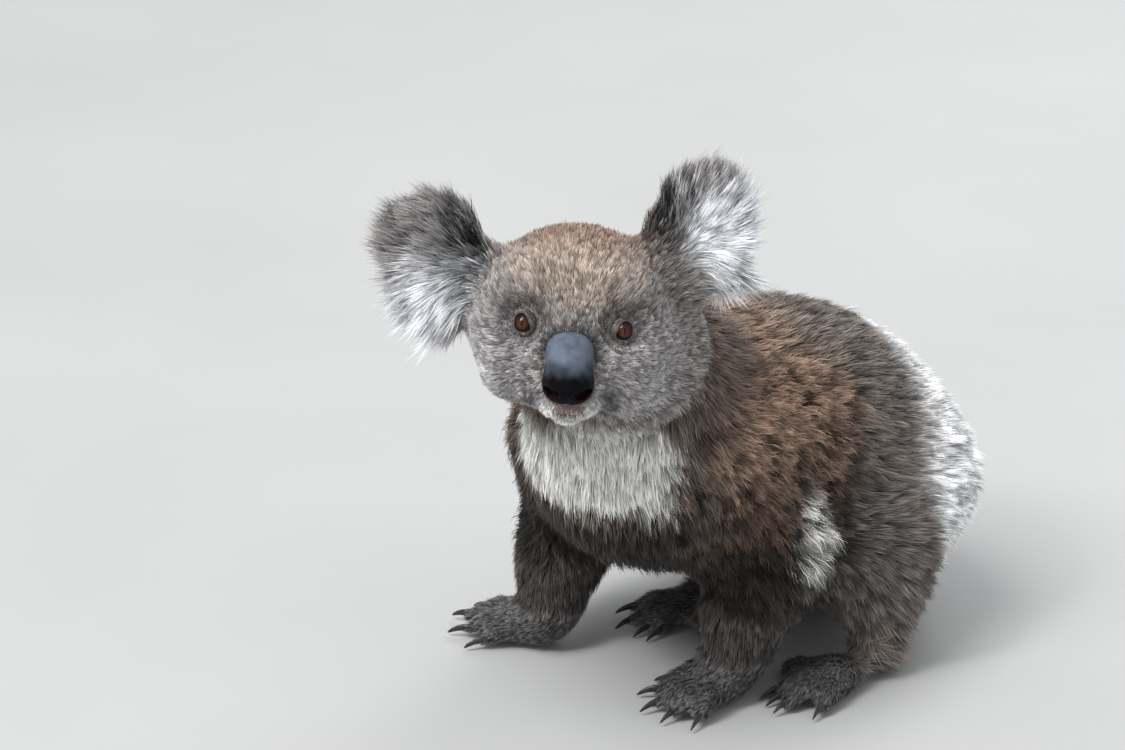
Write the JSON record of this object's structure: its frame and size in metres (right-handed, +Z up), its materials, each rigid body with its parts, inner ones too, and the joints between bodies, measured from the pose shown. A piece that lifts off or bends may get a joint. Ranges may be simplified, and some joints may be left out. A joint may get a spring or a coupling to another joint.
{
  "type": "koala",
  "caption": "Life-size still koala doe standing crouched on all fours, head turned to her left, thick grey-brown coat, fringed ears and a pale bib.",
  "frame": {"origin": "middle of the overall box in plan, on the floor under the soles, palms and seat", "axes": "+Z up; -Y the way the body faces; +X the animal's left"},
  "size_m": [0.321, 0.4564, 0.4097],
  "materials": {
    "coat_grey": "dense short grey-brown fur",
    "coat_brown": "dense warm brown fur with darker locks",
    "coat_pale": "dense cream to pale grey fur",
    "nose_leather": "smooth bare slate-grey skin, satin",
    "claw_horn": "black horn, satin",
    "eye_gloss": "wet amber-brown eye, glossy"
  },
  "bodies": {
    "root": {"head": "coat_grey", "ear_left": "coat_grey", "ear_right": "coat_grey", "neck": "coat_pale", "chest": "coat_pale", "belly": "coat_brown", "rump": "coat_pale", "upper_arm_left": "coat_brown", "upper_arm_right": "coat_brown", "forearm_left": "coat_grey", "forearm_right": "coat_grey", "hand_left": "coat_grey", "hand_right": "coat_grey", "thigh_left": "coat_brown", "thigh_right": "coat_brown", "foot_left": "coat_grey", "foot_right": "coat_grey", "eye_left": "eye_gloss", "eye_right": "eye_gloss", "nose_pad": "nose_leather", "claw_hand_left_1": "claw_horn", "claw_hand_left_2": "claw_horn", "claw_hand_left_3": "claw_horn", "claw_hand_left_4": "claw_horn", "claw_hand_left_5": "claw_horn", "claw_foot_left_2": "claw_horn", "claw_foot_left_3": "claw_horn", "claw_foot_left_4": "claw_horn", "claw_foot_left_5": "claw_horn", "claw_hand_right_1": "claw_horn", "claw_hand_right_2": "claw_horn", "claw_hand_right_3": "claw_horn", "claw_hand_right_4": "claw_horn", "claw_hand_right_5": "claw_horn", "claw_foot_right_2": "claw_horn", "claw_foot_right_3": "claw_horn", "claw_foot_right_4": "claw_horn", "claw_foot_right_5": "claw_horn"}
  },
  "joints": []
}
